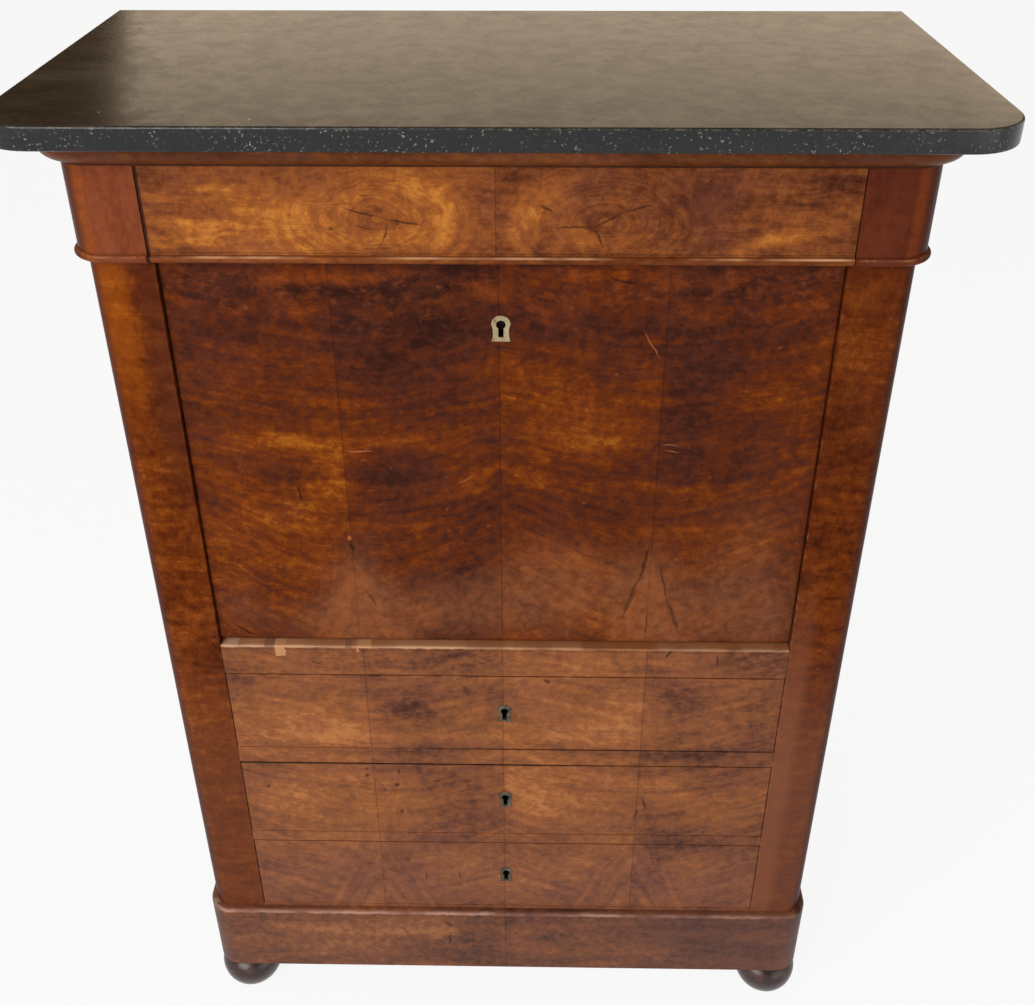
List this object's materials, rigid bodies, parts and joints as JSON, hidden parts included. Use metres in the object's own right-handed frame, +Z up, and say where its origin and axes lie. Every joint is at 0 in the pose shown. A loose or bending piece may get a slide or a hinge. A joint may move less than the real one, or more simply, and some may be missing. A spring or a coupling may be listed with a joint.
{
  "type": "fall-front secretary desk",
  "caption": "Tall fall-front secretary desk: stone slab over a cornice, frieze drawer, drop-down writing flap on pivots, flush drawers with locks, plinth and bun feet.",
  "frame": {"origin": "on the floor under the middle of the bounding box", "axes": "+X to the right seen from the front, -Y out of the front, +Z up"},
  "size_m": [1.014, 0.505, 1.404],
  "materials": {
    "walnut_veneer": "waxed figured veneer",
    "drawer_oak": "bare oak, aged",
    "ebonised_wood": "ebonised, polished",
    "dark_stone": "honed, pale flecks",
    "brass": "dull aged brass",
    "iron": "dark iron",
    "leather": "worn, gilt line"
  },
  "bodies": {
    "carcase": {"stone_top": "dark_stone", "cornice": "walnut_veneer", "top_board": "drawer_oak", "frieze_end_left": "walnut_veneer", "frieze_end_right": "walnut_veneer", "stile_left": "walnut_veneer", "stile_right": "walnut_veneer", "rear_post_left": "walnut_veneer", "rear_post_right": "walnut_veneer", "side_panel_left": "walnut_veneer", "side_panel_right": "walnut_veneer", "back_boards": "drawer_oak", "rail_upper": "walnut_veneer", "rail_middle": "walnut_veneer", "rail_lower": "walnut_veneer", "rail_bottom": "walnut_veneer", "frieze_floor": "drawer_oak", "desk_floor": "walnut_veneer", "bottom_board": "drawer_oak", "plinth_front": "walnut_veneer", "plinth_left": "walnut_veneer", "plinth_right": "walnut_veneer", "feet_front": "ebonised_wood", "feet_rear": "ebonised_wood", "plinth_blocks": "drawer_oak", "drawer_runners": "drawer_oak", "desk_bearers": "drawer_oak", "fitment_sides": "walnut_veneer", "fitment_shelves": "walnut_veneer", "fitment_dividers": "walnut_veneer", "pivot_sockets": "brass", "quadrant_keepers": "brass"},
    "fall": {"fall_panel": "walnut_veneer", "writing_leather": "leather", "fall_escutcheon": "brass", "fall_lock_case": "iron", "fall_pivots": "brass", "fall_quadrants": "brass"},
    "fall_bolt": {"fall_lock_bolt": "iron"},
    "frieze_drawer": {"frieze_drawer_front": "walnut_veneer", "frieze_drawer_sides": "drawer_oak", "frieze_drawer_bottom": "drawer_oak"},
    "drawer_1": {"drawer_1_front": "walnut_veneer", "drawer_1_sides": "drawer_oak", "drawer_1_bottom": "drawer_oak", "drawer_1_escutcheon": "brass", "drawer_1_lock_case": "iron"},
    "drawer_1_bolt": {"drawer_1_lock_bolt": "iron"},
    "drawer_2": {"drawer_2_front": "walnut_veneer", "drawer_2_sides": "drawer_oak", "drawer_2_bottom": "drawer_oak", "drawer_2_escutcheon": "brass", "drawer_2_lock_case": "iron"},
    "drawer_2_bolt": {"drawer_2_lock_bolt": "iron"},
    "drawer_3": {"drawer_3_front": "walnut_veneer", "drawer_3_sides": "drawer_oak", "drawer_3_bottom": "drawer_oak", "drawer_3_escutcheon": "brass", "drawer_3_lock_case": "iron"},
    "drawer_3_bolt": {"drawer_3_lock_bolt": "iron"}
  },
  "joints": [
    {"name": "fall_hinge", "type": "hinge", "parent": "carcase", "child": "fall", "pos_m": [0, -0.1715, 0.7255], "axis": [1, 0, 0], "range_deg": [0, 90]},
    {"name": "frieze_drawer_slide", "type": "slide", "parent": "carcase", "child": "frieze_drawer", "axis": [0, -1, 0], "range_m": [0, 0.3]},
    {"name": "drawer_1_slide", "type": "slide", "parent": "carcase", "child": "drawer_1", "axis": [0, -1, 0], "range_m": [0, 0.3]},
    {"name": "drawer_2_slide", "type": "slide", "parent": "carcase", "child": "drawer_2", "axis": [0, -1, 0], "range_m": [0, 0.3]},
    {"name": "drawer_3_slide", "type": "slide", "parent": "carcase", "child": "drawer_3", "axis": [0, -1, 0], "range_m": [0, 0.3]},
    {"name": "fall_bolt_throw", "type": "slide", "parent": "fall", "child": "fall_bolt", "axis": [0, 0, 1], "range_m": [0, 0.008]},
    {"name": "drawer_1_bolt_throw", "type": "slide", "parent": "drawer_1", "child": "drawer_1_bolt", "axis": [0, 0, 1], "range_m": [0, 0.008]},
    {"name": "drawer_2_bolt_throw", "type": "slide", "parent": "drawer_2", "child": "drawer_2_bolt", "axis": [0, 0, 1], "range_m": [0, 0.008]},
    {"name": "drawer_3_bolt_throw", "type": "slide", "parent": "drawer_3", "child": "drawer_3_bolt", "axis": [0, 0, 1], "range_m": [0, 0.008]}
  ]
}
